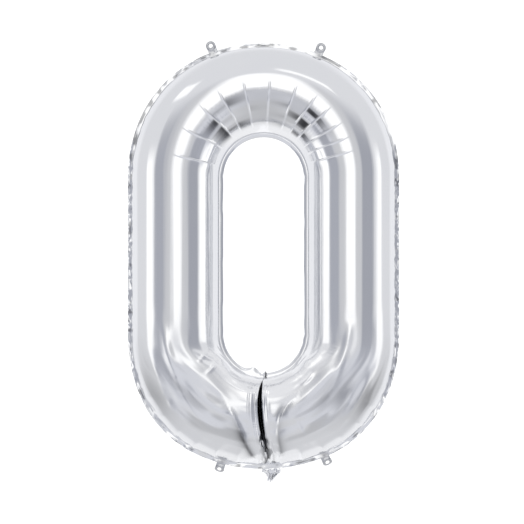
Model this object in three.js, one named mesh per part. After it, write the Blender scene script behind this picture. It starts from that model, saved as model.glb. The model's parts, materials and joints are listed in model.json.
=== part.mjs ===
// A foil number balloon in the shape of a "0", filled and hanging upright, in millimetres.
// +Z is up and the front faces -Y. The origin is the middle of the balloon's box.
//
// The balloon is two sheets of metallised film, front and back, welded together along the outside
// and round the opening in the middle. Gas bulges them into one round tube that closes on itself.
// A flat sheet can't bend round evenly, so the ring buckles at one place, above its filling tail.
// The film is really 0.03 to 0.05 mm thick. It is drawn thicker here, so that each piece is a solid.
import * as THREE from 'three';

// ---- Driving dimensions -------------------------------------------------------------------------
const LINE_RADIUS = 171; // from the middle to the line along the middle of each upright
const HALF_STRAIGHT = 151; // half the length of an upright
const TUBE_RADIUS = 85; // of the filled tube
const TOP_TRIM = 3; // how much less far the tube's outer edge lies at the very top
const TOP_SWELL = 4; // how much further out it lies halfway round a top bend
const BOTTOM_SWELL = 8; // and halfway round a bottom bend
const OUTER_MARGIN = 8; // width of the welded margin round the outside
const INNER_MARGIN = 7.5; // width of the welded margin round the opening

const SHEET = 0.6; // drawn thickness of a foil panel
const PANEL_GAP = 1; // from the middle plane to the inner face of a panel's margin
const CLEAR = 0.3; // kept between pieces that touch on the real balloon

const KINK_SHIFT = 8; // how far along the tube's middle line the buckle lies from the lowest point
const KINK_DEPTH = 22; // half the tube's thickness at the buckle
const KINK_REACH = 42; // along the middle line, from the buckle to where the tube is full again
const KINK_SPREAD = 6; // how much wider to each side the flattened tube is there

const TAB = { head: 9.5, hole: 4, neck: 17, rise: 12, sheet: 0.8, hinge_gap: 1 };
const TAIL = { root: 60, mouth: 20, length: 20, mouth_shift: -5, sheet: 0.5, seal: 3, hinge_gap: 2.4 };
const VALVE = { width: 30, length: 95, sheet: 0.4, in_margin: 1 };

// Each tab's place round its bend, in degrees from +X, and how far its head leans along the edge.
const TABS = [
  { name: 'tab_top_left', bend: 112.4, lean: 2.7 },
  { name: 'tab_top_right', bend: 65.5, lean: -3 },
  { name: 'tab_bottom_left', bend: 252, lean: 0 },
  { name: 'tab_bottom_right', bend: 296.3, lean: 0 },
];

// ---- Materials ----------------------------------------------------------------------------------
const metal = (color, roughness) => new THREE.MeshStandardMaterial({ color, metalness: 1, roughness });
const foilFront = metal(0xdadce0, 0.1);
const foilBack = metal(0xd6d8dc, 0.12);
const fusedFilm = metal(0xc8cacf, 0.3);
const valveFilm = new THREE.MeshStandardMaterial({ color: 0xe8eaec, metalness: 0, roughness: 0.35 });

// ---- The ring -----------------------------------------------------------------------------------
const QUARTER = Math.PI / 2;
const BOTTOM = 3 * QUARTER;
const BEND_STEPS = 12; // stations in a quarter bend
const STRAIGHT_STEPS = 3; // stations along an upright
const KINK_SHARES = [0.08, 0.2, 0.38, 0.62, 0.86]; // stations beside the buckle, as shares of its reach
const DOME_STEPS = 10; // steps over a panel's dome

// A station on the ring's middle line: where it is, its outward normal (nx, nz), how far the tube
// reaches outwards and inwards from the line, and its depth in front of and behind the middle plane.
// bend is the angle about the centre of the top or bottom bend, from +X. away is the distance from the
// buckle along the middle line.
function bendStation(bend, away = Infinity) {
  const [nx, nz] = [Math.cos(bend), Math.sin(bend)];
  const top = nz > 0;
  const swell = (top ? TOP_SWELL : BOTTOM_SWELL) * Math.sin(2 * bend) ** 2;
  const trim = top ? TOP_TRIM * nz ** 2 : 0;
  const near = Math.max(0, 1 - away / KINK_REACH);
  const full = Math.sqrt(1 - near ** 2); // two rounded ends that face each other across the buckle
  const spread = KINK_SPREAD * (1 - full);
  return {
    x: LINE_RADIUS * nx,
    z: LINE_RADIUS * nz + (top ? HALF_STRAIGHT : -HALF_STRAIGHT),
    nx,
    nz,
    outer: TUBE_RADIUS + swell - trim + spread,
    inner: TUBE_RADIUS + spread,
    depth: KINK_DEPTH + (TUBE_RADIUS - KINK_DEPTH) * full,
    away,
  };
}

function uprightStations(side) {
  const stations = [];
  for (let i = 0; i <= STRAIGHT_STEPS; i++) {
    const z = side * HALF_STRAIGHT * ((2 * i) / STRAIGHT_STEPS - 1);
    const size = { outer: TUBE_RADIUS, inner: TUBE_RADIUS, depth: TUBE_RADIUS, away: Infinity };
    stations.push({ x: side * LINE_RADIUS, z, nx: side, nz: 0, ...size });
  }
  return stations;
}

// The stations go round from the buckle by the right, the top and the left.
function ringStations() {
  const bends = (from, to, steps) => {
    const inside = Array.from({ length: steps - 1 }, (_, i) => from + ((to - from) * (i + 1)) / steps);
    return inside.map((bend) => bendStation(bend));
  };
  const kink = BOTTOM + KINK_SHIFT / LINE_RADIUS;
  const reach = KINK_REACH / LINE_RADIUS;
  const beside = (share, side) => bendStation(kink + side * share * reach, share * KINK_REACH);
  return [
    bendStation(kink, 0),
    ...KINK_SHARES.map((share) => beside(share, 1)),
    ...bends(kink + reach * KINK_SHARES.at(-1), 4 * QUARTER, BEND_STEPS),
    ...uprightStations(1),
    ...bends(0, 2 * QUARTER, 2 * BEND_STEPS),
    ...uprightStations(-1),
    ...bends(2 * QUARTER, kink - reach * KINK_SHARES.at(-1), BEND_STEPS),
    ...KINK_SHARES.toReversed().map((share) => beside(share, -1)),
  ];
}

// ---- Mesh building ------------------------------------------------------------------------------
// Sweeps a closed outline along stations. outline(station) lists [out, y], where out is measured along
// the station's normal. A ring joins its last station to its first, and any other sweep gets two ends.
// Every sweep goes round the ring from right to left over the top, or upwards with its normal along +X.
function sweep(stations, outline, isRing) {
  const outlines = stations.map((s) => {
    const points = outline(s).map(([out, y]) => new THREE.Vector2(out, y));
    return THREE.ShapeUtils.isClockWise(points) ? points.reverse() : points;
  });
  const count = outlines[0].length;
  const positions = [];
  stations.forEach((s, i) => {
    for (const { x: out, y } of outlines[i]) positions.push(s.x + out * s.nx, y, s.z + out * s.nz);
  });
  const index = [];
  for (let i = 0; i < (isRing ? stations.length : stations.length - 1); i++) {
    const here = i * count;
    const next = ((i + 1) % stations.length) * count;
    for (let j = 0; j < count; j++) {
      const k = (j + 1) % count;
      index.push(here + j, here + k, next + k, here + j, next + k, next + j);
    }
  }
  if (!isRing) {
    const last = (stations.length - 1) * count;
    for (const [a, b, c] of THREE.ShapeUtils.triangulateShape(outlines[0], [])) {
      index.push(c, b, a, last + a, last + b, last + c);
    }
  }
  const geometry = new THREE.BufferGeometry();
  geometry.setAttribute('position', new THREE.Float32BufferAttribute(positions, 3));
  geometry.setIndex(index);
  return geometry;
}

function part(name, geometry, material) {
  const mesh = new THREE.Mesh(geometry, material);
  mesh.name = name;
  return mesh;
}

// ---- Foil panels and their welds ----------------------------------------------------------------
// One panel is its inner margin, its dome and its outer margin in one sheet. side is -1 for the front.
function panelOutline(side) {
  return (s) => {
    const outside = [[-s.inner - INNER_MARGIN, side * (PANEL_GAP + SHEET)]];
    const inside = [[-s.inner - INNER_MARGIN, side * PANEL_GAP]];
    for (let i = 0; i <= DOME_STEPS; i++) {
      const turn = (2 * QUARTER * i) / DOME_STEPS;
      const half = turn < QUARTER ? s.inner : s.outer;
      const rise = (s.depth - SHEET) * Math.sin(turn);
      outside.push([-half * Math.cos(turn), side * (PANEL_GAP + SHEET + rise)]);
      inside.push([-(half - SHEET) * Math.cos(turn), side * (PANEL_GAP + rise)]);
    }
    outside.push([s.outer + OUTER_MARGIN, side * (PANEL_GAP + SHEET)]);
    inside.push([s.outer + OUTER_MARGIN, side * PANEL_GAP]);
    return [...outside, ...inside.reverse()];
  };
}

// A weld is the fused layer between the two margins.
function weldOutline(from, to) {
  const half = PANEL_GAP - CLEAR;
  return [[from, -half], [to, -half], [to, half], [from, half]];
}

// The outer weld is open where the valve passes out between the panels.
function outerWeld(stations) {
  const besideValve = stations.filter((s) => s.away > VALVE.width / 2);
  return sweep(besideValve, (s) => weldOutline(s.outer, s.outer + OUTER_MARGIN), false);
}

function innerWeld(stations) {
  return sweep(stations, (s) => weldOutline(-s.inner - INNER_MARGIN, -s.inner), true);
}

// ---- Tabs ---------------------------------------------------------------------------------------
// A hanging tab is both films fused into one tongue, with a round end and a hole. It stands out from the
// margin's edge and bends along it. It is drawn with its foot on the X axis and its head towards +Y.
function tabShape(lean) {
  const shape = new THREE.Shape();
  const dip = QUARTER / 3; // how far round below its middle the head's arc starts and ends
  shape.moveTo(-TAB.neck / 2, 0);
  shape.lineTo(TAB.neck / 2, 0);
  shape.absarc(lean, TAB.rise, TAB.head, -dip, 2 * QUARTER + dip, false);
  shape.closePath();
  const hole = new THREE.Path();
  hole.absarc(lean, TAB.rise, TAB.hole, 0, 4 * QUARTER, true);
  shape.holes.push(hole);
  return shape;
}

function tab({ name, bend, lean }) {
  const geometry = new THREE.ExtrudeGeometry(tabShape(lean), {
    depth: TAB.sheet,
    bevelEnabled: false,
    curveSegments: 10,
  });
  geometry.translate(0, 0, -TAB.sheet / 2);
  geometry.rotateX(QUARTER);
  const mesh = part(name, geometry, fusedFilm);
  const at = bendStation(THREE.MathUtils.degToRad(bend));
  const out = at.outer + OUTER_MARGIN + TAB.hinge_gap;
  mesh.position.set(at.x + out * at.nx, 0, at.z + out * at.nz);
  mesh.rotation.y = Math.atan2(at.nx, at.nz);
  return mesh;
}

// ---- Tail and valve -----------------------------------------------------------------------------
const kinkStation = bendStation(BOTTOM + KINK_SHIFT / LINE_RADIUS, 0);
const tubeEdge = {
  x: kinkStation.x + kinkStation.outer * kinkStation.nx,
  z: kinkStation.z + kinkStation.outer * kinkStation.nz,
};

// Two stations of a strip of film, at its bottom and its top, each with its middle and its half width.
function stripStations(bottom, top) {
  return [bottom, top].map(({ x, z, width }) => ({ x, z, nx: 1, nz: 0, half: width / 2 }));
}

// One film of the tail. Its two sides stand in to meet the other film's, as the side welds do.
function tailFilm(side) {
  const outer = side * (2 * CLEAR + TAIL.sheet);
  const inner = side * 2 * CLEAR;
  const seal = (side * CLEAR) / 2;
  const rootZ = tubeEdge.z - OUTER_MARGIN - TAIL.hinge_gap;
  const mouth = { x: tubeEdge.x + TAIL.mouth_shift, z: rootZ - TAIL.length, width: TAIL.mouth };
  const root = { x: tubeEdge.x, z: rootZ, width: TAIL.root };
  const outline = ({ half }) => [
    [-half, outer],
    [half, outer],
    [half, seal],
    [half - TAIL.seal, seal],
    [half - TAIL.seal, inner],
    [TAIL.seal - half, inner],
    [TAIL.seal - half, seal],
    [-half, seal],
  ];
  return sweep(stripStations(mouth, root), outline, false);
}

// One film of the self-sealing valve, which stands up inside the tube and starts in the margin.
function valveFlap(side) {
  const inner = (side * CLEAR) / 2;
  const outer = side * (CLEAR / 2 + VALVE.sheet);
  const bottomZ = tubeEdge.z - VALVE.in_margin;
  const bottom = { x: tubeEdge.x, z: bottomZ, width: VALVE.width };
  const top = { x: kinkStation.x, z: bottomZ + VALVE.length, width: VALVE.width };
  return sweep(
    stripStations(bottom, top),
    ({ half }) => [[-half, outer], [half, outer], [half, inner], [-half, inner]],
    false,
  );
}

// ---- The balloon --------------------------------------------------------------------------------
const stations = ringStations();
const balloon = new THREE.Group();
balloon.add(
  part('front_panel', sweep(stations, panelOutline(-1), true), foilFront),
  part('back_panel', sweep(stations, panelOutline(1), true), foilBack),
  part('outer_weld', outerWeld(stations), fusedFilm),
  part('inner_weld', innerWeld(stations), fusedFilm),
  ...TABS.map(tab),
  part('tail_front_film', tailFilm(-1), foilFront),
  part('tail_back_film', tailFilm(1), foilBack),
  part('valve_front_film', valveFlap(-1), valveFilm),
  part('valve_back_film', valveFlap(1), valveFilm),
);

const box = new THREE.Box3().setFromObject(balloon, true);
balloon.position.z = -(box.min.z + box.max.z) / 2;
export default balloon;
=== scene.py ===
"""A silver foil number balloon, the digit 0, filled and hanging upright.

Metres, +Z up, the front faces -Y. The balloon is two sheets of film welded round the outside and round
the opening. Each sheet is a grid that runs round the ring (distance t along the tube's middle line, from
the lowest point by the right) and across the tube (angle beta, from the inner weld at -90 degrees over
the crest at 0 to the outer weld at 90 degrees). The folds are moves of that grid.
"""

import json
import math

import bpy
import numpy as np
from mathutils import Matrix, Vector


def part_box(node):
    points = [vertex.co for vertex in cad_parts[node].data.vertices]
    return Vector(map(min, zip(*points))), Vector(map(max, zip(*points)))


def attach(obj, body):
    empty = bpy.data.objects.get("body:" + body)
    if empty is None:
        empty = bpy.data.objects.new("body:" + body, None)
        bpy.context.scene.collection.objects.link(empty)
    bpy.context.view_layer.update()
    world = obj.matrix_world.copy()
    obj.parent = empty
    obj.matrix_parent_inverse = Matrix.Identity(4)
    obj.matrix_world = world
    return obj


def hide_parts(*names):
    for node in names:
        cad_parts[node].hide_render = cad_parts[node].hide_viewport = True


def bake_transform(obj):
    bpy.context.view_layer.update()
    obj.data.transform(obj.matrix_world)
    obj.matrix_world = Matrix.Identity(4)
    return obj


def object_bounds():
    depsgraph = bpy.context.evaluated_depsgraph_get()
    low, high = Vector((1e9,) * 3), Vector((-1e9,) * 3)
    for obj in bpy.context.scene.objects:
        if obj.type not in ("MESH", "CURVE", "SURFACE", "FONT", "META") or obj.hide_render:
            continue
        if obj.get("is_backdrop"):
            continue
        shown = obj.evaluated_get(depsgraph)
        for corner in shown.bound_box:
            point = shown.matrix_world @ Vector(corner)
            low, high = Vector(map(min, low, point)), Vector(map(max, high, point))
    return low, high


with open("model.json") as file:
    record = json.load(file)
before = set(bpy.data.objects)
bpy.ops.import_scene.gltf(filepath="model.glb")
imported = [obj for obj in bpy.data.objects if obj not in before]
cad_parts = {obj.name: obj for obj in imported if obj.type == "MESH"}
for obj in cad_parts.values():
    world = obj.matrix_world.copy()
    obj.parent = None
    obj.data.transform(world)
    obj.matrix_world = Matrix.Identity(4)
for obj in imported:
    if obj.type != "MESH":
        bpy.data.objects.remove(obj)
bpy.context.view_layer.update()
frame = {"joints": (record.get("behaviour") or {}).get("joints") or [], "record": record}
JOINTS = {joint["name"]: joint for joint in frame["joints"]}
HOLES = {
    opening["name"].removeprefix("hole_"): np.mean(opening["box_m"], 0)
    for opening in frame["record"]["physics"]["openings"]
    if opening["name"].startswith("hole_")
}

# ---- Sizes, from the frame ----------------------------------------------------------------------
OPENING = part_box("inner_weld")[1][0]  # half width of the opening, to its weld
OUTER_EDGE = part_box("outer_weld")[1][0]  # half width over the outer margin
TUBE = 0.085  # radius of the filled tube
LINE = OPENING + TUBE  # radius of the middle line in the bends
HALF_STRAIGHT = 0.151  # half length of an upright
RING_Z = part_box("inner_weld")[1][2] - OPENING - HALF_STRAIGHT
LOW_CENTRE = RING_Z - HALF_STRAIGHT  # height of the lower bend's centre
OUTER_MARGIN = OUTER_EDGE - LINE - TUBE
INNER_MARGIN = 0.0075
WELD_RADIUS = LINE + TUBE  # from a bend's centre to the outer weld
VALVE_GAP = 0.0006  # from the outer weld to the foot of the valve's flaps
TOP_TRIM = 0.003  # how much less far the outer edge lies at the very top
TOP_SWELL = 0.004  # how much further out it lies halfway round a top bend
BOTTOM_SWELL = 0.008
FILM = 0.00025  # from the middle of a margin to the outer face of either film

# ---- The crest's shift towards the opening ------------------------------------------------------
CREST_IN = 0.004
CREST_OUT_AT_TOP = 0.010
CREST_IN_BELOW = 0.025

# ---- The buckle at the bottom of the ring -------------------------------------------------------
SLIT = [(0.0046, -0.221), (-0.0066, -0.262), (-0.0088, -0.300), (-0.0060, -0.332), (0.0086, -0.381)]
LIP_RADIUS = 0.027
LIP_DROP = 0.25  # how far the lips round in, as a share of the tube's depth
SLOT_DROP = 0.24  # and how much further in the slit between them goes
SLOT_HALF = 0.0023
LIPS_GROW = (0.084, 0.165)  # radii from the lower bend's centre, from nothing to full
LIPS_FADE = (0.262, 0.205)
SLOT_GROWS = (0.082, 0.150)
SLOT_FADES = (0.225, 0.185)
BANDS_GROW = (0.095, 0.120)
BANDS_FADE = (0.245, 0.215)
BESIDE_SLIT = (0.004, 0.030)  # distances from the slit over which the lobes' own folds grow
CELLS_BESIDE_SLIT = (0.010, 0.030)
# Folds that run down beside the slit: distance from it, and depth.
LIP_BANDS = [(-0.0125, 0.0009), (-0.0195, 0.0007), (-0.0265, 0.0008), (0.0095, 0.0009), (0.0165, 0.0008)]

# ---- Pleats: angles round the top bend, at the crest and near the weld ---------------------------
PLEATS_AT_CREST = np.radians([15.6, 24.5, 34.3, 45.8, 56.7, 69.8, 86.2, 102.2, 118.2, 132.0, 149.4, 167])
PLEATS_AT_WELD = np.radians([15.6, 27.6, 36.5, 48.5, 59.3, 69.4, 86.2, 102.3, 116.2, 127.6, 145.2, 167])
PLEAT_DEPTH = 0.0017
PLEAT_HALF = 0.0010
CURVE_POINTS = 50  # to which a crease's curve is worked out
CELLS = np.radians(np.arange(-151, -25, 9.8))  # creases between the puffed cells along the bottom edge
CELL_PUFF = 0.0017

# Where each lower lobe ends short of the slit: a curve (x, z) down its end, seen from the front, and
# how dark the painted shade along it turns.
LOBE_ENDS = [
    ([(-0.080, -0.2555), (-0.054, -0.298), (-0.034, -0.342), (-0.0125, -0.380)], 0.80),
    ([(0.078, -0.240), (0.036, -0.284), (0.0285, -0.330), (0.037, -0.380)], 0.55),
]
LOBE_END_DEPTH = 0.0070
LOBE_SLOPE = 0.013  # over which the lobe drops off
LOBE_CLIMB = 0.0050  # over which the film climbs again beyond
LOBE_ROUNDING = 0.0018
LOBE_REACH = 0.06  # how far from its end curve the lobe can change

# ---- Small folds in the film ----------------------------------------------------------------------
GORE_WAVE = 0.0009  # height of the slack waves between the pleats
GORE_RING = 0.1155  # radius of the fold that runs round the arch near its inner weld
GORE_RING_HEIGHT = 0.0006
BROAD_STREAKS = (0.060, 0.017)  # in the lower bends: length along the tube and width across it
BROAD_HEIGHT = 0.0013
FINE_STREAKS = (0.040, 0.0085)
FINE_HEIGHT = 0.00045
RIPPLES = (0.450, 0.0065)  # in the uprights
RIPPLE_HEIGHT = 0.00017
PUCKER_HEIGHT = 0.0010
CRUMPLE_HEIGHT = 0.0038
CELL_CREASE = 0.0008  # depth of the creases between the puffed cells
CELL_CREASE_HALF = 0.0014
LIP_BAND_HALF = 0.0028
FINE_WRINKLE = 0.0004  # heights of the wrinkles on the inner side of the lower bends
BROAD_WRINKLE = 0.0007

# ---- Heights, from none of a thing to all of it ---------------------------------------------------
STREAKS_START = (LOW_CENTRE + 0.07, LOW_CENTRE - 0.07)
SLACK_START = (LOW_CENTRE + 0.07, LOW_CENTRE - 0.05)
SLIT_WIDENS = (-0.205, -0.290)
SLIT_ENDS = (-0.375, -0.328)
RIBS_START = (-0.290, -0.305)  # fine ribs to the left of the slit
RIBS_END = (-0.345, -0.325)
LOBE_DARK_START = (-0.270, -0.350)
CRUMPLE_START = (-0.318, -0.345)  # gathered film in the bottom of the slit
CRUMPLE_END = (-0.398, -0.385)
CRUMPLE_DARK_START = (-0.322, -0.340)
CRUMPLE_DARK_END = (-0.402, -0.392)

# ---- Painted shade, from 0 to 1, where the foil's colour is darkened for folds that see only darker film ---
SLIT_DARK_HALF = 0.0035  # half width of the dark inside of the slit
EDGE_DARK = (0.38, 0.22)  # outer edge of the left lobe and of the right
DASH_DARK = 0.55  # short folds in the outer margin
TAB_ROOT_DARK = 0.35
BESIDE_GATHER = 2.5  # strength of the gathered patch where the right upright meets the lower bend

# Long soft creases in the lower lobes: points (x, z) seen from the front, depth and half width.
CREASES = [
    ([(0.145, -0.192), (0.103, -0.228), (0.075, -0.256), (0.048, -0.292)], 0.0022, 0.0080),
    ([(0.128, -0.240), (0.104, -0.272), (0.088, -0.296), (0.074, -0.318)], 0.0018, 0.0080),
    ([(-0.150, -0.205), (-0.128, -0.243), (-0.100, -0.268), (-0.074, -0.300)], 0.0013, 0.0080),
    ([(-0.112, -0.205), (-0.096, -0.228), (-0.080, -0.248), (-0.068, -0.268)], 0.0010, 0.0080),
    ([(-0.190, -0.110), (-0.178, -0.180), (-0.150, -0.250)], 0.0022, 0.0070),
    ([(-0.215, -0.160), (-0.190, -0.250), (-0.150, -0.320)], 0.0022, 0.0080),
    ([(-0.170, -0.215), (-0.130, -0.285), (-0.085, -0.335)], 0.0018, 0.0070),
    ([(0.165, -0.110), (0.150, -0.180), (0.120, -0.250)], 0.0022, 0.0065),
    ([(0.205, -0.200), (0.180, -0.260), (0.145, -0.310)], 0.0024, 0.0070),
    ([(0.165, -0.240), (0.130, -0.300), (0.085, -0.345)], 0.0018, 0.0070),
    ([(0.060, -0.300), (0.072, -0.322), (0.080, -0.352)], 0.0018, 0.0055),
    ([(-0.133, -0.166), (-0.110, -0.180), (-0.092, -0.186)], 0.0014, 0.0030),
    ([(-0.124, -0.190), (-0.112, -0.176), (-0.104, -0.162)], 0.0014, 0.0030),
    ([(-0.110, -0.212), (-0.096, -0.200), (-0.088, -0.186)], 0.0014, 0.0030),
    ([(0.070, -0.232), (0.084, -0.222), (0.092, -0.208)], 0.0012, 0.0030),
]

# ---- Tabs: how sharply each curls to the back, 1/m ------------------------------------------------
TOP_CURL = 9.0
BOTTOM_CURL = 48.0

# ---- Light, camera and floor --------------------------------------------------------------------
FOIL_REFLECTS = 0.88
SLACK_ROUGHNESS = 0.11  # added where the film is slack and finely wrinkled
WHITE = (1.2, 1.2, 1.2)
CAMERA = (-0.003, -3.0, 0)
LENS = 105.93  # mm, over a sensor of SENSOR mm
SENSOR = 36
FLOOR_HEIGHT = -0.66
FLOOR_RADIUS = 0.85
FLOOR_SIDES = 96


# ---- Number tools -------------------------------------------------------------------------------
def smooth(low, high, x):
    """0 at low, 1 at high, and an S curve between. low may be above high."""
    s = np.clip((x - low) / (high - low), 0, 1)
    return s * s * (3 - 2 * s)


def fade(low, high, angle):
    """The same between two angles, which are given in degrees."""
    return smooth(math.radians(low), math.radians(high), angle)


def hump(x, middle, half):
    """1 at the middle, falling off smoothly to about a third at half on either side."""
    return np.exp(-(((x - middle) / half) ** 2))


def turn_from(angle, other):
    """angle - other, from minus half a turn to half a turn."""
    return (angle - other + math.pi) % (2 * math.pi) - math.pi


def noise(u, v, seed):
    """Smooth random heights from -1 to 1, about one bump to a unit of u or v."""
    table = np.random.default_rng(seed).uniform(-1, 1, (128, 128))
    u, v = np.broadcast_arrays(u, v)
    i, j = np.floor(u).astype(int), np.floor(v).astype(int)
    a, b = smooth(0, 1, u - i), smooth(0, 1, v - j)
    low = table[i % 128, j % 128] * (1 - a) + table[(i + 1) % 128, j % 128] * a
    high = table[i % 128, (j + 1) % 128] * (1 - a) + table[(i + 1) % 128, (j + 1) % 128] * a
    return low * (1 - b) + high * b


def curve_through(points):
    """Points along a smooth curve through two to four given ones."""
    p = np.array(points, float)
    knots = np.linspace(0, 1, len(p))
    at = np.linspace(0, 1, CURVE_POINTS)
    return np.stack([np.polyval(np.polyfit(knots, p[:, k], len(p) - 1), at) for k in (0, 1)], -1)


def normals(grid):
    """Unit normals of a grid that closes on itself along its first axis."""
    along = np.roll(grid, -1, 0) - np.roll(grid, 1, 0)
    across = np.gradient(grid, axis=1)
    n = np.cross(along, across)
    return n / np.maximum(np.linalg.norm(n, axis=-1, keepdims=True), 1e-12)


# ---- The ring -----------------------------------------------------------------------------------
STRAIGHT_DOWN = -math.pi / 2
QUARTER = LINE * math.pi / 2  # length of a quarter bend along the middle line
KNOTS = np.cumsum([0, QUARTER, 2 * HALF_STRAIGHT, 2 * QUARTER, 2 * HALF_STRAIGHT, QUARTER])
LOOP = KNOTS[-1]
KNOT_ANGLES = np.radians([-90, 0, 0, 180, 180, 270])
KNOT_CENTRES = RING_Z + HALF_STRAIGHT * np.array([-1, -1, 1, 1, -1, -1])


def steps(*stretches):
    """Distances t round the loop, from stretches of (end, step)."""
    rows, start = [], 0.0
    for end, step in stretches:
        rows.append(np.linspace(start, end, round((end - start) / step), endpoint=False))
        start = end
    return np.concatenate(rows)[:, None]


KINK_REACH = 0.085  # how far the buckle's fine folds reach along the tube
DOME_ROWS = steps(
    (KINK_REACH, 0.0011),
    (QUARTER, 0.0024),
    (KNOTS[2], 0.0040),
    (KNOTS[3], 0.0012),
    (KNOTS[4], 0.0040),
    (LOOP - KINK_REACH, 0.0024),
    (LOOP, 0.0011),
)
MARGIN_ROWS = steps((LOOP, 0.0016))
BETAS = np.radians(np.linspace(-90, 90, 98))[None, :]


def ring(t):
    """The outward normal's angle and the height of the bend's centre, at t."""
    return np.interp(t, KNOTS, KNOT_ANGLES), np.interp(t, KNOTS, KNOT_CENTRES)


def half_width(angle, outside):
    """From the middle line to the weld, on the outer side of the tube or on the inner."""
    top = np.sin(angle) > 0
    swell = np.where(top, TOP_SWELL, BOTTOM_SWELL) * np.sin(2 * angle) ** 2
    trim = np.where(top, TOP_TRIM, 0) * np.sin(angle) ** 2
    return TUBE + np.where(outside, swell - trim, 0)


def from_slit(x, z):
    """Sideways distance from the slit, which bows to the left on its way down; 1 everywhere above it."""
    path = np.array(SLIT)
    bow = np.polyval(np.polyfit(path[:, 1], path[:, 0], 3), np.clip(z, path[-1, 1], path[0, 1]))
    return np.where(z < LOW_CENTRE - 0.5 * OPENING, x - bow, 1)


def kink_depth(away, r):
    """The share of the tube's depth left at a distance from the slit, between its two rounded lips."""
    wide = smooth(*LIPS_GROW, r) * smooth(*LIPS_FADE, r)
    turn = np.clip(1 - np.abs(away) / (LIP_RADIUS * (0.5 + 0.5 * wide)), 0, 1)
    slot = smooth(*SLOT_GROWS, r) * smooth(*SLOT_FADES, r) * hump(away, 0, SLOT_HALF)
    return 1 - LIP_DROP * wide * (1 - np.sqrt(1 - turn**2)) - SLOT_DROP * slot


def crest_shift(angle):
    """How far the crest lies from the tube's middle line, towards the opening."""
    sine = np.sin(angle)
    out = CREST_OUT_AT_TOP * np.maximum(sine, 0) ** 2
    return CREST_IN - out + CREST_IN_BELOW * smooth(0.10, 0.60, -sine)


def bumps(t, beta, size, seed, lean=0):
    """Random heights on the film, with bumps of a size along and across the tube, leaning along it."""
    along, across = size
    return noise(t / along + lean * beta, TUBE * beta / across, seed)


# ---- Folds, as moves outwards along the film's normal --------------------------------------------
def along_pleats(angle, r):
    """The angle as it would be if every pleat ran straight towards the bend's centre."""
    inward = smooth(LINE, OPENING, r)
    return angle + inward * (np.interp(angle, PLEATS_AT_WELD, PLEATS_AT_CREST) - angle)


def stretch(angle, marks):
    """The number of the stretch between two marks that an angle lies in, or of the nearest one."""
    return np.clip(np.searchsorted(marks, angle), 1, len(marks) - 1)


def between(angle, marks):
    """The middle and half width of that stretch, and whether the angle lies in it."""
    i = stretch(angle, marks)
    low, high = marks[i - 1], marks[i]
    return (low + high) / 2, (high - low) / 2, (angle > low) & (angle < high)


def nearest(angle, marks):
    """How far an angle is from the nearest mark."""
    return np.abs(angle[..., None] - marks).min(-1)


def pleated(beta, reach=6):
    """Where the pleats are: from reach degrees outside the crest to short of the inner weld."""
    return fade(reach, -4, beta) * fade(-66, -50, beta)


def flatten_between_pleats(angle, beta, r):
    """The film goes round the arch in straight stretches from pleat to pleat, on the inner half."""
    middle, half, inside = between(angle, PLEATS_AT_CREST)
    straight = np.cos(half) / np.cos(np.where(inside, angle - middle, half))
    return r * (1 + pleated(beta, reach=2) * (straight - 1))


def pleat_folds(angle, beta, r, seed):
    """Sharp valleys at the pleats, and slack undulations that differ from one stretch to the next."""
    grown = 0.65 + 0.35 * fade(-8, -34, beta)
    away = r * nearest(angle, PLEATS_AT_CREST)
    valley = -PLEAT_DEPTH * grown * pleated(beta) * np.exp(-away / PLEAT_HALF)
    number = stretch(angle, PLEATS_AT_CREST)
    middle, half, inside = between(angle, PLEATS_AT_CREST)
    slack = 1 - np.clip(np.abs(angle - middle) / half, 0, 1) ** 4
    share = fade(-12, -24, beta) * fade(-72, -56, beta)
    wave = GORE_WAVE * noise(number * 7.3, TUBE * beta / 0.013, seed)
    strength = smooth(0.3, 0.5, noise(number * 1.7, 0.5, seed + 1) + 0.6)
    ring_fold = GORE_RING_HEIGHT * hump(r, GORE_RING, 0.0022) * strength
    return valley + inside * slack * share * (wave + ring_fold)


def edge_cells(angle, beta, r):
    """Puffed cells along the bottom edge, with a sharp crease between neighbours."""
    turn = turn_from(angle, 0)
    middle, half, inside = between(turn, CELLS)
    puff = np.where(inside, 1 - ((turn - middle) / half) ** 2, 0)
    valley = np.exp(-r * nearest(turn, CELLS) / CELL_CREASE_HALF)
    inner_end = math.radians(48) - math.radians(16) * puff
    share = smooth(inner_end, inner_end + math.radians(24), beta)
    bottom = smooth(-0.25, -0.55, np.sin(angle))
    return bottom * share * (CELL_PUFF * (puff - 0.6) - CELL_CREASE * valley)


def edge_puckers(t, beta, angle, seed):
    """Short puckers that run into the tube from the outer weld, least where the ring bends."""
    bend = np.abs(np.sin(angle))
    return PUCKER_HEIGHT * fade(58, 86, beta) * noise(t / 0.0075, beta * 2, seed) * (1 - 0.6 * bend)


def crease(xz, points, depth, width):
    """A valley along a curve seen from the front, fading out towards both its ends."""
    curve = curve_through(points)
    low, high = curve.min(0) - 4 * width, curve.max(0) + 4 * width
    near = ((xz > low) & (xz < high)).all(-1)
    gaps = np.linalg.norm(xz[near][:, None] - curve, axis=-1)
    along = gaps.argmin(-1) / (len(curve) - 1)
    move = np.zeros(xz.shape[:-1])
    move[near] = -depth * np.sin(math.pi * along) ** 0.8 * np.exp(-((gaps.min(-1) / width) ** 2))
    return move


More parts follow.
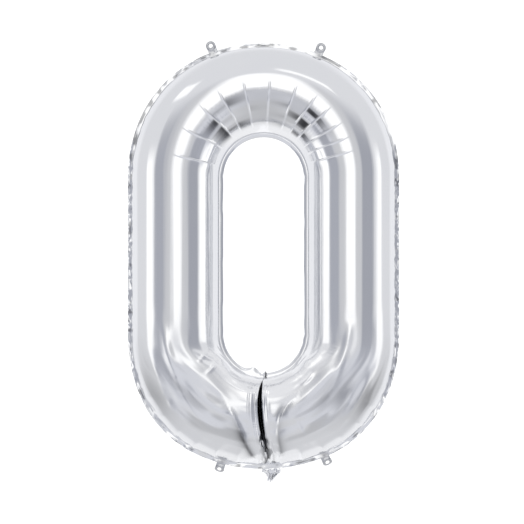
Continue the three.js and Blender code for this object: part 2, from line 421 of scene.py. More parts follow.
def lobe_end(xz, points):
    """How far the lobe has dropped off towards its end curve, beyond which the film climbs again."""
    curve = curve_through(points)
    low, high = curve.min(0) - LOBE_REACH, curve.max(0) + LOBE_REACH
    near = ((xz > low) & (xz < high)).all(-1)
    apart = xz[near][:, None] - curve
    gaps = np.linalg.norm(apart, axis=-1)
    closest = gaps.argmin(-1)
    along = closest / (len(curve) - 1)
    outward = np.sign(points[0][0])
    side = outward * np.take_along_axis(apart[..., 0], closest[:, None], 1)[:, 0]
    width = np.where(side > 0, LOBE_SLOPE, LOBE_CLIMB)
    gap = np.hypot(gaps.min(-1), LOBE_ROUNDING) - LOBE_ROUNDING
    drop = np.zeros(xz.shape[:-1])
    drop[near] = smooth(0, 0.4, along) * smooth(1, 0.85, along) * np.exp(-gap / width)
    return drop


def lip_bands(away, r):
    """Shallow folds that follow the slit down its lips."""
    share = smooth(*BANDS_GROW, r) * smooth(*BANDS_FADE, r)
    return -share * sum(depth * hump(away, place, LIP_BAND_HALF) for place, depth in LIP_BANDS)


def soft_streaks(t, beta, angle, z, seed):
    """Slack streaks that follow the tube in the lower bends, and faint ripples in the uprights."""
    low = smooth(*STREAKS_START, z) * fade(70, 40, beta)
    broad = BROAD_HEIGHT * bumps(t, beta, BROAD_STREAKS, seed, lean=1)
    fine = FINE_HEIGHT * bumps(t, beta, FINE_STREAKS, seed + 1, lean=-1)
    ripple = RIPPLE_HEIGHT * bumps(t, beta, RIPPLES, seed + 2)
    upright = smooth(0.8, 0.2, np.abs(np.sin(angle)))
    return low * (broad + fine) + upright * ripple


def inner_wrinkles(t, beta, angle, seed):
    """Short wrinkles across the inner side of the lower bends."""
    share = fade(-20, -42, beta) * fade(-90, -80, beta) * smooth(0.1, -0.35, np.sin(angle))
    fine = FINE_WRINKLE * noise(t / 0.012, beta * 3.5, seed)
    broad = BROAD_WRINKLE * noise(t / 0.030, beta * 2, seed + 1)
    return share * (fine + broad)


def crumple(away, z, seed):
    """Gathered film in the bottom of the slit."""
    share = hump(away, 0, 0.014) * smooth(*CRUMPLE_START, z) * smooth(*CRUMPLE_END, z)
    return CRUMPLE_HEIGHT * share * noise(away / 0.0045, z / 0.009, seed)


def lower_folds(t, beta, angle, r, away, xz, seed):
    """The slack film of the lower bends and the buckle's own folds."""
    beside = smooth(*BESIDE_SLIT, np.abs(away))
    move = edge_cells(angle, beta, r) * smooth(*CELLS_BESIDE_SLIT, np.abs(away))
    move = move + soft_streaks(t, beta, angle, xz[..., 1], seed + 5) * beside
    move = move + inner_wrinkles(t, beta, angle, seed + 10) * beside
    move = move + crumple(away, xz[..., 1], seed + 12)
    return move + sum(crease(xz, points, depth, width) for points, depth, width in CREASES)


# ---- Painted shade: darker colour where folded film would see only other folds and turn dark -----
def slit_shade(away, z, seed):
    """Painted shade inside the slit, which reflects only itself: a point at its top, widest two thirds
    down, and broken up at its foot.
    """
    half = SLIT_DARK_HALF * smooth(*SLIT_WIDENS, z) * smooth(*SLIT_ENDS, z)
    folds = noise(away / 0.0040, z / 0.012 + away / 0.02, seed + 21)
    bright = smooth(0.0, 0.5, -folds) * smooth(*CRUMPLE_START, z)
    dots = smooth(0.6, 0.95, noise(away / 0.0022, z / 0.0035, seed + 23))
    core = smooth(1.5, 0.7, np.abs(away) / np.maximum(half, 0.0008)) * (1 - bright) * (1 - 0.6 * dots)
    gathered = smooth(-0.15, 0.25, folds) * hump(away, 0, 0.0100) * smooth(*CRUMPLE_DARK_START, z)
    return core + 0.85 * gathered * smooth(*CRUMPLE_DARK_END, z)


def lobe_shade(t, beta, angle, seed):
    """Painted shade in soft streaks over the slack film of the lower lobes, darkest along their outer
    edge, for the darker room reflected there.
    """
    turn = np.abs(np.degrees(turn_from(angle, STRAIGHT_DOWN)))
    streaks = smooth(0.2, 0.75, bumps(t, beta, (0.045, 0.011), seed + 24, lean=1.5))
    lobes = smooth(-0.35, -0.7, np.sin(angle)) * smooth(-0.35, 0.0, beta) * smooth(1.0, 0.6, beta)
    dense = smooth(0.0, 0.7, bumps(t, beta, (0.055, 0.008), seed + 25, lean=2.2))
    aside = hump(turn, 50, 20) * hump(beta, 0.42, 0.34)
    edge = hump(turn, 61, 13) * smooth(0.60, 1.02, beta) * smooth(1.17, 1.10, beta)
    edge_dark = np.where(np.cos(angle) < 0, *EDGE_DARK) + 0.40 * dense
    return 0.24 * streaks * lobes + 0.30 * dense * aside + edge_dark * edge


def gore_shade(angle, beta, r, seed):
    """Painted shade in darker and lighter blocks over the gathered film between the pleats, for the dark
    room it reflects; the pleats themselves stay unshaded and bright.
    """
    number = stretch(angle, PLEATS_AT_CREST)
    blocks = noise(number * 3.3, TUBE * beta / 0.012, seed + 22)
    aside = hump(np.abs(np.degrees(angle) - 90), 42, 22)
    dark = 0.24 + aside * (0.75 * smooth(0.0, 0.4, blocks) - 0.22 * smooth(-0.1, -0.4, blocks))
    return dark * smooth(0.0004, 0.0036, r * nearest(angle, PLEATS_AT_CREST))


# ---- Foil sheets --------------------------------------------------------------------------------
def dome(side):
    """The bulged part of one sheet: its grid, film coordinates and masks; side is -1 in front."""
    seed = 20 if side < 0 else 60
    t, beta = np.broadcast_arrays(DOME_ROWS, BETAS)
    angle, centre = ring(t)
    flat_r = LINE + half_width(angle, beta > 0) * np.sin(beta)
    away = from_slit(flat_r * np.cos(angle), centre + flat_r * np.sin(angle))
    depth = TUBE * np.cos(beta) * kink_depth(away, flat_r)
    r = flat_r - crest_shift(angle) * np.cos(beta) ** 1.5
    pleat_angle = along_pleats(angle, r)
    r = flatten_between_pleats(pleat_angle, beta, r)
    grid = np.stack([r * np.cos(angle), side * (FILM + depth), centre + r * np.sin(angle)], -1)
    xz = grid[..., [0, 2]]
    ends = [lobe_end(xz, points) for points, _ in LOBE_ENDS]
    move = pleat_folds(pleat_angle, beta, r, seed)
    move = move + edge_puckers(t, beta, angle, seed + 3)
    move = move + lower_folds(t, beta, angle, r, away, xz, seed)
    move = move + lip_bands(away, flat_r) - LOBE_END_DEPTH * sum(ends)
    weld = fade(90, 84, np.abs(beta))
    patch = {"grid": grid + (move * weld)[..., None] * normals(grid) * -side}
    patch["film"] = np.stack([t, TUBE * beta], -1)
    patch.update(dome_masks(t, beta, angle, away, xz[..., 1]))
    # Painted shade: darkened colour in the slit, in streaks and edges of the lower lobes, in blocks
    # between the pleats and along the lobes' ends.
    shade = slit_shade(away, xz[..., 1], seed) * (np.sin(angle) < -0.5)
    shade = shade + lobe_shade(t, beta, angle, seed)
    shade = shade + patch["gather"] * gore_shade(pleat_angle, beta, r, seed)
    low = smooth(*LOBE_DARK_START, xz[..., 1])
    shade = shade + sum(dark * low * end**2 for end, (_, dark) in zip(ends, LOBE_ENDS))
    patch["shade"] = np.clip(shade, 0, 1)
    beside = hump(t, QUARTER - 0.033, 0.014) * hump(beta, -0.36, 0.16)
    patch["gather"] = patch["gather"] + BESIDE_GATHER * beside
    return patch


def dome_masks(t, beta, angle, away, z):
    """Where the film is finely gathered, ribbed beside the slit or slack, and where its colour is
    brightened as a painted highlight over the smooth inner side of the lower bends.
    """
    sine = np.sin(angle)
    beside_slit = smooth(*RIBS_END, z) * smooth(*RIBS_START, z) * hump(away, -0.014, 0.010)
    return {
        "gather": smooth(0.45, 0.8, sine) * fade(-4, -14, beta) * pleated(beta),
        "rungs": beside_slit * (sine < -0.5),
        "slack": smooth(*SLACK_START, z) * smooth(*BESIDE_SLIT, np.abs(away)),
        # Painted highlight: where the colour is brightened.
        "painted_light": smooth(0.05, 0.45, -sine) * smooth(-0.12, -0.35, beta),
    }


MARGIN_TILT = 0.0036  # how far the margin's free edge leans to the back beside the uprights
MARGIN_FOLDS = 0.0100  # height of its broad folds round the bends
MARGIN_CRINKLE = 0.0016
RAGGED_EDGE = 0.0004
INNER_CUP = 0.0026  # how far the inner margin's free edge curls to the back
FLAP = 0.0085  # width of the flap to the left of the buckle
NUB = 0.004  # width of the nub in it
NUB_LIFT = 0.006  # how far the nub stands out to the front
TAIL_TURN = 0.045  # where the tail leaves the margin, as an angle round from the lowest point
TAB_ANGLES = [
    math.atan2(joint["axis"][0], -joint["axis"][2]) for name, joint in JOINTS.items() if "tab" in name
]


def at_tabs(angle):
    """1 on the outer margin where a tab grows from it."""
    return np.clip(sum(hump(turn_from(angle, tab), 0, 0.035) for tab in TAB_ANGLES), 0, 1)


def dashes(t, m):
    """Painted shade in short dark dashes along the outer margin's folds."""
    return smooth(0.28, 0.55, noise(t / 0.009, 1.6 * m + 0.3, 97))


def crinkle(t, m, angle):
    """How far the outer margin leaves its plane; m is 0 at its weld and 1 at its free edge."""
    bent = smooth(0.15, 0.6, np.abs(np.sin(angle)))
    folds = MARGIN_FOLDS * noise(t / 0.010, m * 1.5, 91) * noise(t / 0.05, 0.5, 92)
    small = MARGIN_CRINKLE * (noise(t / 0.0042, m * 2.5, 93) + noise(t / 0.010, m * 2, 94))
    from_top = np.abs(turn_from(angle, -STRAIGHT_DOWN))
    calm = 1 - at_tabs(angle)
    calm = calm * (1 - hump(turn_from(angle, STRAIGHT_DOWN), TAIL_TURN, 0.14))
    calm = calm * (1 - 0.85 * hump(from_top, math.radians(64), math.radians(20)))
    return (folds * bent + small * (1 - 0.8 * bent) + MARGIN_TILT * (1 - bent)) * m * calm


def inner_edge(angle):
    """Extra width of the inner margin: a flap on the left of the buckle and a small nub in it."""
    turn = np.degrees(turn_from(angle, STRAIGHT_DOWN))
    notch = 0.003 * hump(turn, -2.5, 1.8)
    return FLAP * hump(turn, -15, 9) + NUB * hump(turn, 2.4, 1.4) - notch


def margin(m, offset, outside):
    """A strip of margin from its weld (m is 0) to its free edge (m is 1), moved back by offset."""
    t, m = np.broadcast_arrays(MARGIN_ROWS, m)
    angle, centre = ring(t)
    if outside:
        ragged = RAGGED_EDGE * noise(t / 0.012, 0.5, 95)
        r = LINE + half_width(angle, True) + (OUTER_MARGIN + ragged) * m
        y = crinkle(t, m, angle)
        v = TUBE * math.pi / 2 + OUTER_MARGIN * m
        # Painted shade: dark dashes along the outer margin's folds and a grey patch where each tab grows
        # from it.
        dark = np.maximum(DASH_DARK * dashes(t, m), TAB_ROOT_DARK * at_tabs(angle))
    else:
        width = INNER_MARGIN + inner_edge(angle)
        r = OPENING - width * m
        nub = hump(np.degrees(turn_from(angle, STRAIGHT_DOWN)), 2.4, 1.6)
        y = m**2 * (INNER_CUP + 0.0006 * noise(t / 0.022, 0.5, 96)) - NUB_LIFT * nub * m
        v = -TUBE * math.pi / 2 - width * m
        # Painted shade: the slit's dark line carried on into the inner margin.
        dark = smooth(0.0017, 0.0007, np.abs(from_slit(r * np.cos(angle), centre + r * np.sin(angle))))
    grid = np.stack([r * np.cos(angle), y + offset, centre + r * np.sin(angle)], -1)
    return {"grid": grid, "film": np.stack([t, v], -1), "shade": dark}


# ---- Meshes -------------------------------------------------------------------------------------
MASKS = ("gather", "rungs", "shade", "slack", "painted_light")
MARGIN_COLUMNS = 6
WELD_SHARE = 0.7  # of the depth between the films, for the fused layer


def grid_faces(rows, columns, closed=True, first=0, flip=False):
    """Quads of a grid; closed joins its last row to its first."""
    i = np.arange(rows if closed else rows - 1)[:, None] * columns
    j = np.arange(columns - 1)
    a = first + i + j
    b = first + (i + columns) % (rows * columns) + j
    quads = np.stack([a, b, b + 1, a + 1], -1).reshape(-1, 4)
    return quads[:, ::-1] if flip else quads


def mesh_object(name, points, faces, film=None, masks=None):
    """An object of equal-sided faces, with film coordinates as its UVs and masks as point attributes."""
    mesh = bpy.data.meshes.new(name)
    mesh.vertices.add(len(points))
    mesh.vertices.foreach_set("co", np.ascontiguousarray(points, np.float32).ravel())
    mesh.loops.add(faces.size)
    mesh.loops.foreach_set("vertex_index", faces.ravel().astype(np.int32))
    mesh.polygons.add(len(faces))
    mesh.polygons.foreach_set("loop_start", np.arange(0, faces.size, faces.shape[1], dtype=np.int32))
    mesh.update(calc_edges=True)
    mesh.shade_smooth()
    if film is not None:
        layer = mesh.uv_layers.new(name="film")
        layer.data.foreach_set("uv", film[faces.ravel()].astype(np.float32).ravel())
    for mask, values in (masks or {}).items():
        attribute = mesh.attributes.new(mask, "FLOAT", "POINT")
        attribute.data.foreach_set("value", values.astype(np.float32).ravel())
    obj = bpy.data.objects.new(name, mesh)
    bpy.context.scene.collection.objects.link(obj)
    return obj


def joined(name, patches, flip=False):
    """One object of several grids, each closed along its rows."""
    points, faces, films, first = [], [], [], 0
    masks = {mask: [] for mask in MASKS}
    for patch in patches:
        rows, columns = patch["grid"].shape[:2]
        faces.append(grid_faces(rows, columns, True, first, flip))
        points.append(patch["grid"].reshape(-1, 3))
        films.append(patch["film"].reshape(-1, 2))
        for mask, values in masks.items():
            values.append(np.ravel(patch.get(mask, np.zeros(rows * columns))))
        first += rows * columns
    masks = {mask: np.concatenate(values) for mask, values in masks.items()}
    return mesh_object(name, np.concatenate(points), np.concatenate(faces), np.concatenate(films), masks)


def foil_sheet(name, side):
    """One panel: the bulged half of the tube with both its margins."""
    m = np.linspace(0, 1, MARGIN_COLUMNS)[None, :]
    inner = margin(m[:, ::-1], side * FILM, False)
    outer = margin(m, side * FILM, True)
    return joined(name, [inner, dome(side), outer], side < 0)


def weld_band(name, outside):
    """The fused middle of a margin: a thin closed strip that reaches just past both films' edges."""
    half = FILM * WELD_SHARE
    m = np.array([0.02, 0.35, 0.7, 1.02])
    offset = np.array([half] * len(m) + [-half] * len(m) + [half])[None, :]
    m = np.concatenate([m, m[::-1], m[:1]])[None, :]
    return joined(name, [margin(m, offset, outside)], not outside)


# ---- Tabs ---------------------------------------------------------------------------------------
TAB_SIDES = 72
RIM = 0.0040  # radius of a tab's hole
HEAD = 0.0095  # half width at the hole
NECK = 0.0085  # half width at the root
TAB_HALF = 0.0003  # half of a tab's thickness
BEAD = 0.0013  # height of the raised ring round the hole
TAB_CRINKLE = 0.0004
TAB_STEPS = 9  # from the hole to the tab's edge
TAB_INSIDE = 0.0040  # how far the tab reaches in past its hinge, between the margins


def tab_outline(turn, root):
    """How far a tab's edge lies from its hole's centre; turn is 0 straight outwards."""
    sine, cosine = np.abs(np.sin(turn)), np.cos(turn)
    side = (HEAD + (NECK - HEAD) * np.clip(-cosine, 0, 1)) / np.maximum(sine, 1e-6)
    bottom = root / np.maximum(-cosine, 1e-6)
    return np.where(cosine > 0, HEAD, np.minimum(side, bottom))


def tab(name, joint, hole, curl):
    """A thin punched tab with a raised ring round its hole; curl is how sharply it bends back, 1/m."""
    pin = np.array(joint["pos_m"])
    across = np.array(joint["axis"])
    outward = np.array([-across[2], 0, across[0]])
    rise = np.dot(hole - pin, outward)
    shift = np.dot(hole - pin, across)
    turn = np.linspace(0, 2 * math.pi, TAB_SIDES, endpoint=False)[:, None]
    share = np.concatenate([np.linspace(0, 1, TAB_STEPS), np.linspace(1, 0, TAB_STEPS), [0]])[None, :]
    face = np.concatenate([np.full(TAB_STEPS, 1), np.full(TAB_STEPS, -1), [1]])[None, :]
    radius = RIM + (tab_outline(turn, rise + TAB_INSIDE) - RIM) * share
    bead = BEAD * np.sin(math.pi * np.clip((radius - RIM) / (HEAD - RIM), 0, 1)) ** 0.8
    u, w = radius * np.sin(turn), radius * np.cos(turn) + rise
    y = face * (TAB_HALF + bead) + TAB_CRINKLE * noise(u / 0.006, w / 0.006, 41)
    bend = np.maximum(w, 0) * curl
    lift = np.where(w > 0, (1 - np.cos(bend)) / curl, 0)
    reach = np.where(w > 0, np.sin(bend) / curl, w)
    grid = pin + (u + shift)[..., None] * across + reach[..., None] * outward
    grid = grid + (y + lift)[..., None] * np.array([0, 1, 0])
    return joined(name, [{"grid": grid, "film": np.stack([u, w], -1)}])


# ---- Tail and valve -----------------------------------------------------------------------------
TAIL_ROOT = 0.018  # half width
TAIL_MOUTH = 0.0065
TAIL_GRID = (61, 49)
TAIL_LEAN = 0.003  # how far its root lies to the right of its mouth
TAIL_SWAY = 0.002
TAIL_RIPPLE = 0.0022  # sideways
TAIL_PLEAT = 0.0042  # in depth, like the next three
TAIL_CRUMPLE = 0.0020
TAIL_CURL = 0.003
TAIL_GATHER = 0.0030
TAIL_GAP = (0.0002, 0.0004, 0.0008)  # half the films' gap in the margin, added at its edge, and below
VALVE_RIPPLE = 0.00012
VALVE_GRID = (25, 49)


def film_sheet(name, x, y, z, flip):
    """An open sheet of film, with its place seen from the front as its film coordinates."""
    grid = np.stack([x, y, z], -1)
    faces = grid_faces(*x.shape, False, 0, flip)
    return mesh_object(name, grid.reshape(-1, 3), faces, np.stack([x, z], -1).reshape(-1, 2))


def tail_film(name, side, root, length):
    """One crumpled film of the filling tail, from inside the margin to its ragged mouth."""
    u = np.linspace(-1, 1, TAIL_GRID[0])[:, None]
    w = np.linspace(-0.5, 1, TAIL_GRID[1])[None, :]
    u, w = np.broadcast_arrays(u, w)
    down = np.clip(w, 0, 1)
    fan = smooth(0, 0.5, down)
    half = TAIL_MOUTH + (TAIL_ROOT - TAIL_MOUTH) * (1 - down) ** 2.5
    middle = root[0] + TAIL_LEAN * (1 - down) + TAIL_SWAY * np.sin(3 * down)
    x = middle + half * u + fan * TAIL_RIPPLE * np.sin(9 * u + 2.5 * down)
    points = 0.34 + 0.64 * np.cos(4.2 * u - 0.4) ** 2 * (1 - 0.35 * np.abs(u))
    z = root[2] - np.where(w > 0, down * length * points, w * 2 * OUTER_MARGIN)
    pleats = TAIL_PLEAT * np.sin(8.2 * u + 2 * down + 0.8)
    fold = fan * (pleats + TAIL_CRUMPLE * noise(u * 4, w * 3, 33))
    curl = TAIL_CURL * smooth(0.6, 1, down) * np.sin(5 * u)
    gathered = TAIL_GATHER * noise(u * 4.5 + 2, w * 1.5, 35) * smooth(-0.5, -0.2, w)
    apart = TAIL_GAP[0] + TAIL_GAP[1] * smooth(-0.5, -0.1, w) + TAIL_GAP[2] * fan
    return film_sheet(name, x, fold + curl + gathered + side * apart, z, side > 0)


def valve_film(name, side, low, high):
    """One rippled flap of the self-sealing valve, inside the balloon from the outer weld up."""
    u = np.linspace(0, 1, VALVE_GRID[0])[:, None]
    w = np.linspace(0, 1, VALVE_GRID[1])[None, :]
    u, w = np.broadcast_arrays(u, w)
    x = low[0] + (high[0] - low[0]) * u
    foot = LOW_CENTRE - np.sqrt(WELD_RADIUS**2 - x**2) + VALVE_GAP
    z = foot + (high[2] - foot) * w
    y = (low[1] + high[1]) / 2 + side * VALVE_RIPPLE * (1 + np.sin(20 * u) * np.sin(9 * w))
    return film_sheet(name, x, y, z, side < 0)


# ---- Materials ----------------------------------------------------------------------------------
class NodeTree:
    """Short ways to add nodes to the node tree of a material or a world."""

    def __init__(self, owner):
        owner.use_nodes = True
        self.nodes = owner.node_tree.nodes
        self.links = owner.node_tree.links

    def math(self, operation, *values):
        """A number worked out from numbers or sockets."""
        node = self.nodes.new("ShaderNodeMath")
        node.operation = operation
        for socket, value in zip(node.inputs, values):
            if isinstance(value, (int, float)):
                socket.default_value = value
            else:
                self.links.new(value, socket)
        return node.outputs[0]

    def mix(self, factor, first, second):
        """From first, where factor is 0, to the colour second."""
        node = self.nodes.new("ShaderNodeMix")
        node.data_type = "RGBA"
        self.links.new(factor, node.inputs["Factor"])
        if isinstance(first, tuple):
            node.inputs["A"].default_value = (*first, 1)
        else:
            self.links.new(first, node.inputs["A"])
        node.inputs["B"].default_value = (*second, 1)
        return node.outputs["Result"]


class Paint(NodeTree):
    """A Principled material."""

    def __init__(self, name):
        self.material = bpy.data.materials.new(name)
        super().__init__(self.material)
        self.shader = self.nodes["Principled BSDF"]

    def place(self, kind, scale):
        """Texture coordinates of a kind, scaled along each axis."""
        where = self.nodes.new("ShaderNodeTexCoord").outputs[kind]
        mapping = self.nodes.new("ShaderNodeMapping")
        mapping.inputs["Scale"].default_value = scale
        self.links.new(where, mapping.inputs["Vector"])
        return mapping.outputs[0]

    def noise(self, place, detail=2.0):
        """Noise of one feature to a unit of the place, mostly from 0.25 to 0.75."""
        node = self.nodes.new("ShaderNodeTexNoise")
        node.inputs["Scale"].default_value = 1
        node.inputs["Detail"].default_value = detail
        self.links.new(place, node.inputs["Vector"])
        return node.outputs["Fac"]

    def spread(self, value, low, high):
        """Noise stretched out to go from low to high."""
        node = self.nodes.new("ShaderNodeMapRange")
        self.links.new(value, node.inputs["Value"])
        node.inputs["From Min"].default_value = 0.25
        node.inputs["From Max"].default_value = 0.75
        node.inputs["To Min"].default_value = low
        node.inputs["To Max"].default_value = high
        return node.outputs["Result"]

    def colour(self, value):
        self.links.new(value, self.shader.inputs["Base Color"])

    def roughness(self, value):
        self.links.new(value, self.shader.inputs["Roughness"])

    def mask(self, name):
        """A point attribute of the mesh."""
        node = self.nodes.new("ShaderNodeAttribute")
        node.attribute_name = name
        return node.outputs["Fac"]

    def bump(self, height, distance):
        """Fine relief, distance metres high where height is 1."""
        node = self.nodes.new("ShaderNodeBump")
        node.inputs["Distance"].default_value = distance
        self.links.new(height, node.inputs["Height"])
        self.links.new(node.outputs[0], self.shader.inputs["Normal"])


FOIL = ((0.865, 0.872, 0.892), (0.895, 0.898, 0.905))  # the two shades of its haze
# Colours of the painted highlight and of the painted shade.
PAINTED_LIGHT_FOIL = (0.985, 0.986, 0.990)
PAINTED_SHADE_FOIL = (0.035, 0.036, 0.040)


def foil_material():
    """Bright metallised film, faintly hazy and wavy, with fine gathers where the masks ask for them; its
    colour carries a painted highlight and painted shade from the masks.
    """
    paint = Paint("silver_foil")
    haze = paint.noise(paint.place("Object", (14, 14, 14)), 4)
    bright = paint.mix(haze, *FOIL)
    # Painted highlight: the colour is brightened over the smooth inner side of the lower bends.
    bright = paint.mix(paint.mask("painted_light"), bright, PAINTED_LIGHT_FOIL)
    # Painted shade: the colour is darkened towards near black where the shade mask says.
    paint.colour(paint.mix(paint.mask("shade"), bright, PAINTED_SHADE_FOIL))
    dull = paint.math("MULTIPLY", paint.mask("slack"), SLACK_ROUGHNESS)
    paint.roughness(paint.math("ADD", paint.spread(haze, 0.085, 0.12), dull))
    paint.shader.inputs["Metallic"].default_value = 1
    wavy = paint.math("MULTIPLY", paint.noise(paint.place("Object", (55, 55, 55))), 0.1)
    gather = paint.math("MULTIPLY", paint.noise(paint.place("UV", (310, 26, 1))), paint.mask("gather"))
    rungs = paint.math("MULTIPLY", paint.noise(paint.place("UV", (18, 260, 1))), paint.mask("rungs"))
    drawn = paint.math("MULTIPLY", paint.noise(paint.place("UV", (5, 230, 1))), 0.16)
    fine = paint.math("ADD", paint.math("MULTIPLY", gather, 0.9), paint.math("MULTIPLY", rungs, 1.2))
    paint.bump(paint.math("ADD", paint.math("ADD", wavy, fine), drawn), 0.0004)
    return paint.material


def welded_material(name, dark, light):
    """Film fused under heat: duller, with the fine cross ribs of the sealing bar."""
    paint = Paint(name)
    patchy = paint.noise(paint.place("Object", (180, 180, 180)), 3)
    paint.colour(paint.mix(patchy, dark, light))
    paint.roughness(paint.spread(patchy, 0.10, 0.22))
    paint.shader.inputs["Metallic"].default_value = 1
    ribs = paint.noise(paint.place("UV", (650, 90, 1)), 1)
    paint.bump(paint.math("ADD", ribs, paint.math("MULTIPLY", patchy, 0.6)), 0.00015)
    return paint.material


def valve_material():
    """Milky clear plastic film with faint flow streaks."""
    paint = Paint("valve_plastic")
    streak = paint.noise(paint.place("UV", (240, 30, 1)), 3)
    paint.colour(paint.mix(streak, (0.78, 0.80, 0.82), (0.90, 0.91, 0.92)))
    paint.roughness(paint.spread(streak, 0.25, 0.45))
    paint.shader.inputs["Transmission Weight"].default_value = 0.55
    paint.bump(streak, 0.0001)
    return paint.material


def floor_material():
    """Plain pale paper."""
    paint = Paint("pale_floor")
    grain = paint.noise(paint.place("Object", (40, 40, 40)), 3)
    paint.colour(paint.mix(grain, (0.64, 0.64, 0.65), (0.67, 0.67, 0.68)))
    paint.shader.inputs["Roughness"].default_value = 0.9
    return paint.material


# ---- Light, floor and camera --------------------------------------------------------------------
# Each shade is a grey of 255 and a blue tint. Places are azimuths, heights and softness, in degrees.
ROOM = (217, 0.02)
ROOM_BELOW = (209, 0.02)
DARK_PATCHES = [
    ((176, 0.05), (-52, 56), (-10, 14), (10, 24)),
    ((213, 0.04), (-62, 66), (-34, -14), (16, 14)),
    ((170, 0.07), (-52, -36), (-12, 6), (8, 14)),
    ((163, 0.07), (34, 56), (-12, 10), (8, 16)),
    ((172, 0.07), (38, 50), (-26, -14), (9, 9)),
    ((166, 0.07), (-50, -38), (-26, -14), (9, 9)),
    ((200, 0.02), (-20, 20), (-4, 24), (16, 6)),
]
# Behind the balloon: a shade, the azimuths to either side and the heights over which it fades in.
FAR_BANDS = [
    ((248, 0.01), (112, 134), (44, 10)),
    ((232, 0.02), (112, 134), (60, 30)),
    ((178, 0.05), (150, 160), (34, 14)),
    ((238, 0.01), (112, 140), (-12, -34)),
    ((250, 0.01), (170, 176), (20, 8)),
]
LIGHTS = [
    ((-75, -67), (-26, 6), (9, 12)),
    ((74, 81), (-26, 8), (9, 12)),
    ((-6, 6), (-1, 27), (12, 8)),
    ((-70, -50), (41, 47), (5, 4)),
]
LONG_LIGHT = ((10, 36), (45.5, 48.5), (5, 3))
LONG_LIGHT_TILT = 0.2


class Sky(NodeTree):
    """Builds a studio round the balloon as patches of light on the sky.

    Places on the sky are given by azimuth from the camera's side, positive to the camera's right, and by
    height above the horizon, both in degrees."""

    def __init__(self, room):
        world = bpy.data.worlds.new("studio")
        super().__init__(world)
        bpy.context.scene.world = world
        where = self.nodes.new("ShaderNodeTexCoord").outputs["Generated"]
        split = self.nodes.new("ShaderNodeSeparateXYZ")
        self.links.new(where, split.inputs[0])
        x, y, z = split.outputs
        toward = self.math("MULTIPLY", y, -1.0)
        self.azimuth = self.math("DEGREES", self.math("ARCTAN2", x, toward))
        self.height = self.math("DEGREES", self.math("ARCSINE", z))
        self.light = room

    def ramp(self, value, low, high):
        """0 at low, 1 at high; low may be above high."""
        node = self.nodes.new("ShaderNodeMapRange")
        node.interpolation_type = "SMOOTHSTEP"
        self.links.new(value, node.inputs["Value"])
        rising = high > low
        node.inputs["From Min"].default_value = min(low, high)
        node.inputs["From Max"].default_value = max(low, high)
        node.inputs["To Min"].default_value = 0 if rising else 1
        node.inputs["To Max"].default_value = 1 if rising else 0
        return node.outputs["Result"]

    def patch(self, azimuths, heights, soft, height=None):
        """A mask that is 1 inside the patch and falls to 0 over soft degrees outside it."""
        masks = []
        for value, (low, high), reach in (
            (self.azimuth, azimuths, soft[0]),
            (height or self.height, heights, soft[1]),
        ):
            masks.append(self.ramp(value, low - reach, low))
            masks.append(self.ramp(value, high + reach, high))
        across, up = (self.math("MULTIPLY", *pair) for pair in (masks[:2], masks[2:]))
        return self.math("MULTIPLY", across, up)

    def paint(self, colour, mask):
        """Lays a colour over what is there, where mask is 1."""
        self.light = self.mix(mask, self.light, colour)

    def finish(self, backdrop):
        """The camera sees the plain backdrop, and the foil reflects the painted studio."""
        is_camera = self.nodes.new("ShaderNodeLightPath").outputs["Is Camera Ray"]
        seen = self.mix(is_camera, self.light, backdrop)
        self.links.new(seen, self.nodes["Background"].inputs["Color"])


def grey(value, tint):
    """A pale neutral colour that reads as value of 255 on screen, after the foil has reflected it."""
    linear = (value / 255) ** 2.2 / FOIL_REFLECTS
    return (linear * (1 - tint), linear * (1 - tint * 0.6), linear * (1 + tint))


def build_sky():
    """The room is darker in front, round the camera, and has white lights and a bright far wall."""
    sky = Sky(grey(*ROOM))
    sky.paint(grey(*ROOM_BELOW), sky.ramp(sky.height, 0, -6))
    for shade, azimuths, heights, soft in DARK_PATCHES:
        sky.paint(grey(*shade), sky.patch(azimuths, heights, soft))
    aside = sky.math("ABSOLUTE", sky.azimuth)
    for shade, sides, heights in FAR_BANDS:
        mask = sky.math("MULTIPLY", sky.ramp(aside, *sides), sky.ramp(sky.height, *heights))
        sky.paint(grey(*shade), mask)
    for azimuths, heights, soft in LIGHTS:
        sky.paint(WHITE, sky.patch(azimuths, heights, soft))
    tilted = sky.math("MULTIPLY_ADD", sky.azimuth, LONG_LIGHT_TILT, sky.height)
    sky.paint(WHITE, sky.patch(*LONG_LIGHT, tilted))
    sky.finish(WHITE)


def build_camera():
    """Level with the balloon's middle and square to its front."""
    camera = bpy.data.cameras.new("camera")
    camera.sensor_width = SENSOR
    camera.lens = LENS
    camera.clip_start = 0.1
    camera.clip_end = 50
    obj = bpy.data.objects.new("camera", camera)
    bpy.context.scene.collection.objects.link(obj)
    obj.location = CAMERA
    obj.rotation_euler = (math.pi / 2, 0, 0)
    bpy.context.scene.camera = obj


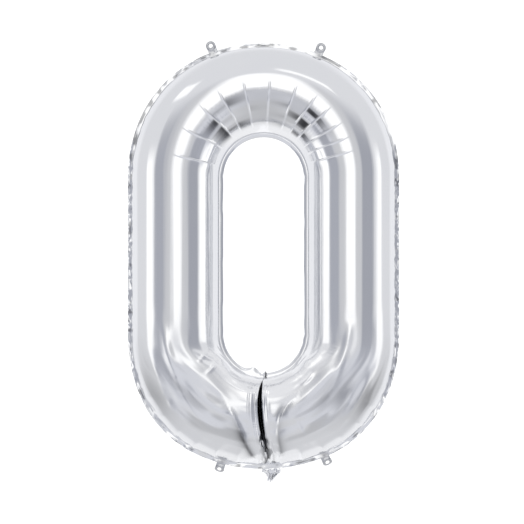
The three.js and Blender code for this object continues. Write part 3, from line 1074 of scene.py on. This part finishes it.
def build_floor():
    """A round sheet of pale paper below the balloon, which the foil doesn't reflect."""
    turn = np.linspace(0, 2 * math.pi, FLOOR_SIDES, endpoint=False)
    height = np.full(FLOOR_SIDES, FLOOR_HEIGHT)
    points = np.stack([FLOOR_RADIUS * np.cos(turn), FLOOR_RADIUS * np.sin(turn), height], -1)
    floor = mesh_object("floor", points, np.arange(FLOOR_SIDES)[None, :])
    floor.data.materials.append(floor_material())
    floor.visible_glossy = False
    floor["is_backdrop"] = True


# ---- The balloon --------------------------------------------------------------------------------
def fit(obj, material, body, nodes):
    """Give a piece its material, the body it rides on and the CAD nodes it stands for."""
    obj.data.materials.append(material)
    if body:
        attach(obj, body)
    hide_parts(*nodes)


build_camera()
build_sky()
build_floor()
bpy.context.scene.view_settings.view_transform = "Standard"

foil = foil_material()
welded = welded_material("welded_margin", (0.80, 0.81, 0.83), (0.88, 0.885, 0.895))
# The tabs' darker colour is partly their duller fused film and partly painted shade for the grey room
# they reflect.
punched = welded_material("punched_tab", (0.47, 0.48, 0.50), (0.64, 0.645, 0.66))
plastic = valve_material()

for name, side in (("front", -1), ("back", 1)):
    sheet = foil_sheet(f"{name}_sheet", side)
    fit(sheet, foil, "balloon", [f"{name}_panel"])

for name, outside in (("outer", True), ("inner", False)):
    fit(weld_band(f"{name}_band", outside), welded, "balloon", [f"{name}_weld"])

for place, hole in HOLES.items():
    joint = JOINTS[f"bend_{place}_tab"]
    piece = tab(f"{place}_ear", joint, hole, TOP_CURL if place.startswith("top") else BOTTOM_CURL)
    fit(piece, punched, None, [f"tab_{place}"])
    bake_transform(piece)

root = JOINTS["bend_tail"]["pos_m"]
tail_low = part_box("tail_front_film")[0][2]
for name, side in (("front", -1), ("back", 1)):
    piece = tail_film(f"tail_{name}", side, root, root[2] - tail_low)
    fit(piece, foil, None, [f"tail_{name}_film"])
    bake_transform(piece)

for name, side in (("front", -1), ("back", 1)):
    node = f"valve_{name}_film"
    low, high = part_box(node)
    piece = valve_film(f"valve_{name}_flap", side, low, high)
    fit(piece, plastic, f"valve_{name}", [node])

low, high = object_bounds()
